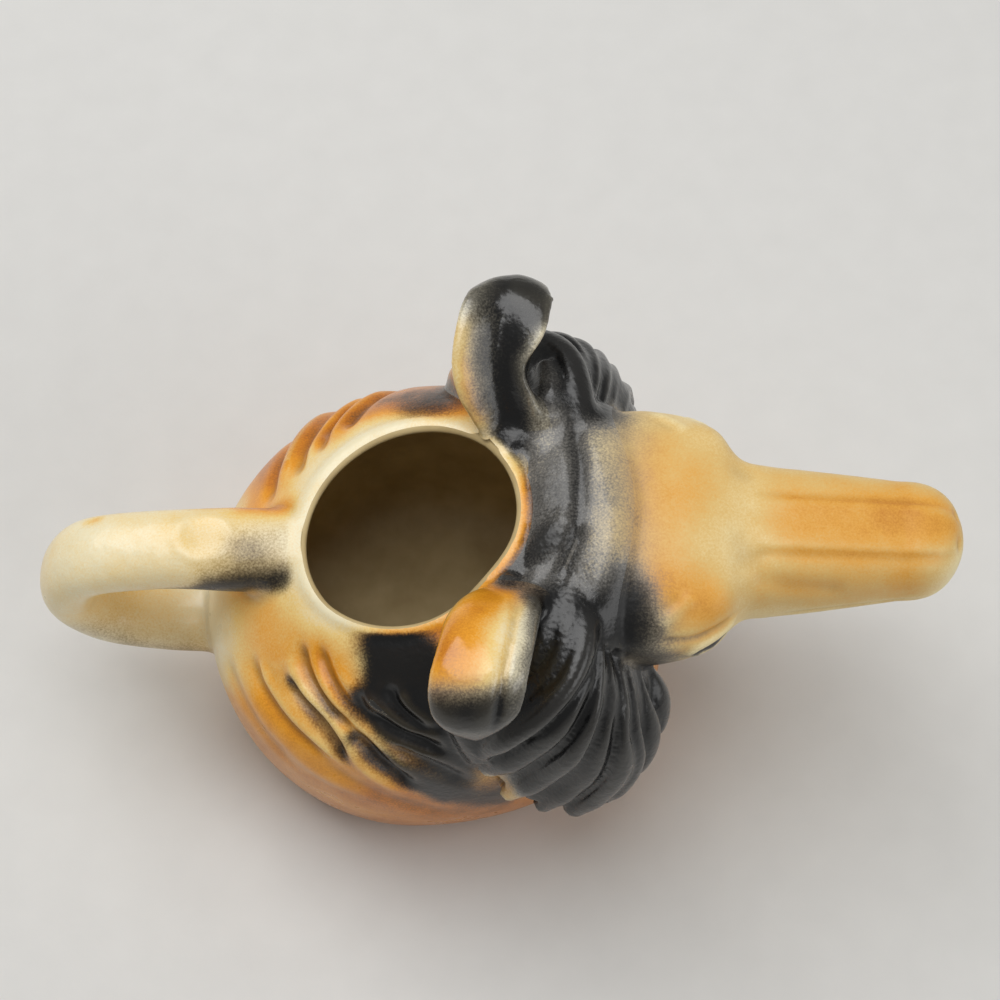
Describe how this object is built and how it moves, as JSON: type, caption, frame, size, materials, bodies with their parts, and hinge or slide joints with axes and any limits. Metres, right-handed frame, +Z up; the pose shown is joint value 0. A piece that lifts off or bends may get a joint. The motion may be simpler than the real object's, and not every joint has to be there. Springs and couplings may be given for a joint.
{
  "type": "dog-shaped creamer",
  "caption": "Glazed ceramic cream jug shaped as a long-muzzled dog: hollow chest with an open filling mouth, pouring muzzle, folded ears, hair ruff and loop handle.",
  "frame": {"origin": "on the table, under the middle of the jug's length and width", "axes": "+X from the handle to the muzzle, +Y to the dog's left, +Z up"},
  "size_m": [0.1778, 0.0927, 0.0903],
  "materials": {
    "pot_glaze": "orange-brown and black airbrush under clear gloss glaze",
    "head_glaze": "ochre airbrush over cream under clear gloss glaze",
    "handle_glaze": "cream clear gloss glaze",
    "ear_glaze": "orange-brown to black airbrush under clear gloss glaze",
    "hair_glaze": "speckled black airbrush under clear gloss glaze"
  },
  "bodies": {
    "root": {"pot": "pot_glaze", "head": "head_glaze", "handle": "handle_glaze", "ear_left": "ear_glaze", "ear_right": "ear_glaze", "ruff_left": "hair_glaze", "ruff_right": "hair_glaze", "crown_mane": "hair_glaze"}
  },
  "joints": []
}
